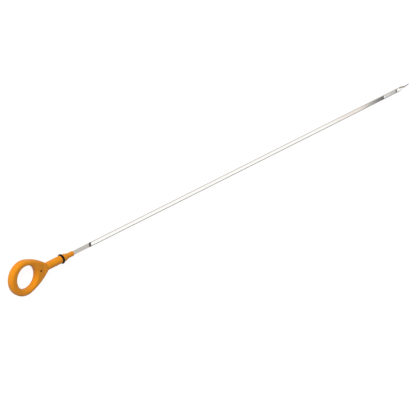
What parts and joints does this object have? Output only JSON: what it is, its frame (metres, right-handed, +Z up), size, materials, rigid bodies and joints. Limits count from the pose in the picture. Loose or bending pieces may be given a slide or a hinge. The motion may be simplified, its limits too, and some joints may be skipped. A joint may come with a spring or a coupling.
{
  "type": "engine oil dipstick",
  "caption": "Engine oil dipstick with a moulded orange ring handle, a rubber O-ring and a long gutter-pressed steel blade with level holes and a twisted tail.",
  "frame": {"origin": "on the stem's axis, at the shoulder that stops on the mouth of the guide tube", "axes": "+X along the blade from the handle to its tip, +Z up out of the face of the blade that carries the gutter, ring flat in XY"},
  "size_m": [0.5897, 0.0372, 0.0104],
  "materials": {
    "handle": "moulded, satin",
    "blade": "cold rolled",
    "o_ring": "oiled"
  },
  "bodies": {
    "root": {"handle": "handle", "blade": "blade", "o_ring": "o_ring"}
  },
  "joints": []
}
